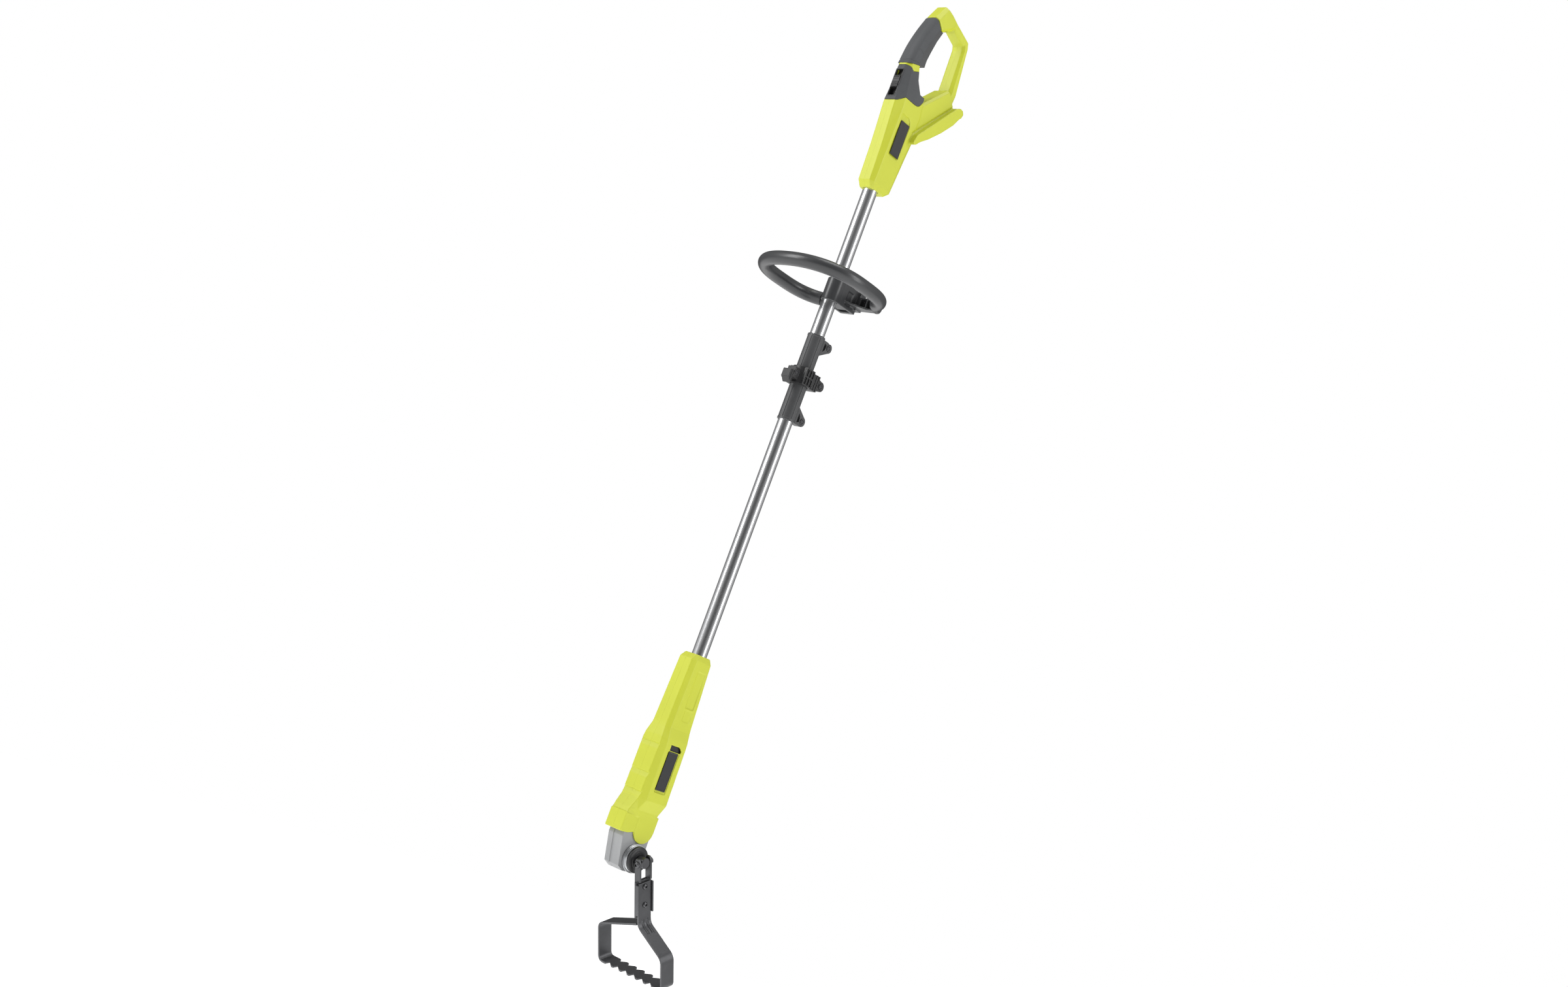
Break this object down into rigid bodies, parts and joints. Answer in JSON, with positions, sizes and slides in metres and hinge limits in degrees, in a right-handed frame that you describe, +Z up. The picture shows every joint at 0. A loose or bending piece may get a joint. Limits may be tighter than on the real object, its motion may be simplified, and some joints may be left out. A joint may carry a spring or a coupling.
{
  "type": "pole weeder",
  "caption": "Battery pole weeder: long tube with a closed trigger handle, an adjustable loop handle and a motor foot that rocks a toothed stirrup blade.",
  "frame": {"origin": "middle of the hand grip of the rear handle, 5 mm in front of the tube axis", "axes": "+Z up the pole towards the rear handle, -Y the front where the thumb slider is, +Y the battery side, +X the user's right-hand side with the badges"},
  "size_m": [0.1856, 0.2298, 1.4895],
  "materials": {
    "green_shell": "satin moulded nylon, lime green",
    "soft_grip": "matt soft-touch rubber, charcoal",
    "dark_nylon": "satin glass-filled nylon, dark grey",
    "black_nylon": "satin moulded nylon, near black",
    "tube": "bright drawn tube",
    "steel": "zinc-plated steel",
    "cast_alloy": "grey painted die-casting",
    "blade_steel": "dark blackened strip steel",
    "copper": "wound copper"
  },
  "bodies": {
    "pole": {"lower_shaft": "tube", "upper_shaft": "tube", "power_cable": "black_nylon", "coupler_right": "dark_nylon", "coupler_left": "dark_nylon", "coupler_lower_bolt": "steel", "coupler_lower_nut": "steel", "coupler_upper_bolt": "steel", "coupler_upper_nut": "steel", "strap_bracket": "black_nylon", "bracket_front_bolt": "steel", "bracket_front_nut": "steel", "bracket_rear_bolt": "steel", "bracket_rear_nut": "steel", "strap_lug": "black_nylon", "rear_housing_right": "green_shell", "rear_housing_left": "green_shell", "grip_cover_right": "soft_grip", "grip_cover_left": "soft_grip", "neck_panel_right": "soft_grip", "neck_panel_left": "soft_grip", "trigger_pin": "steel", "trigger_spring": "steel", "trigger_switch": "black_nylon", "battery_terminal_block": "black_nylon", "rear_badge": "black_nylon", "rear_screw": "steel", "motor_housing_right": "green_shell", "motor_housing_left": "green_shell", "motor_badge": "black_nylon", "head_screw": "steel", "motor_can": "steel", "motor_end_bell": "black_nylon", "gear_case_left": "cast_alloy", "gear_case_right": "cast_alloy", "spindle_bearing_inner": "steel", "spindle_bearing_outer": "steel", "boss_collar": "steel"},
    "trigger_lever": {"trigger": "dark_nylon"},
    "slider": {"lockoff_slider": "black_nylon"},
    "loop": {"loop_handle": "dark_nylon", "loop_clamp_shoe": "dark_nylon", "loop_clamp_bolt_upper": "steel", "loop_clamp_bolt_lower": "steel"},
    "rotor": {"rotor_shaft": "steel", "rotor_core": "copper", "cooling_fan": "black_nylon", "motor_pinion": "steel"},
    "crank": {"drive_gear": "black_nylon", "crank_shaft": "steel", "crank_bearing": "steel"},
    "output": {"output_spindle": "steel", "rocker_arm": "steel", "drive_disc": "black_nylon", "blade_holder": "blade_steel", "holder_bolt": "steel", "holder_nut": "steel", "stirrup_blade": "blade_steel", "blade_screw_1": "steel", "blade_screw_2": "steel"}
  },
  "joints": [
    {"name": "trigger_pivot", "type": "hinge", "parent": "pole", "child": "trigger_lever", "pos_m": [0, 0.02, 0.0465], "axis": [-1, 0, 0], "range_deg": [0, 5], "stiffness_Nm_per_rad": 0.8, "springref_deg": -5.73},
    {"name": "lockoff_slide", "type": "slide", "parent": "pole", "child": "slider", "axis": [0, 0, -1], "range_m": [0, 0.008], "stiffness_N_per_m": 200, "springref_m": -0.002},
    {"name": "loop_slide", "type": "slide", "parent": "pole", "child": "loop", "axis": [0, 0, 1], "range_m": [-0.04, 0.1]},
    {"name": "rotor_spin", "type": "hinge", "parent": "pole", "child": "rotor", "pos_m": [0, 0.005, -1.12], "axis": [0, 0, 1], "continuous": true},
    {"name": "crank_spin", "type": "hinge", "parent": "pole", "child": "crank", "pos_m": [0, -0.0083, -1.2], "axis": [0, 0, 1], "continuous": true},
    {"name": "blade_rock", "type": "hinge", "parent": "pole", "child": "output", "pos_m": [0, 0.005, -1.252], "axis": [1, 0, 0], "range_deg": [-3.7, 3.7]}
  ],
  "couplings": [
    {"joint": "crank_spin", "follows": "rotor_spin", "ratio": -0.33333}
  ]
}
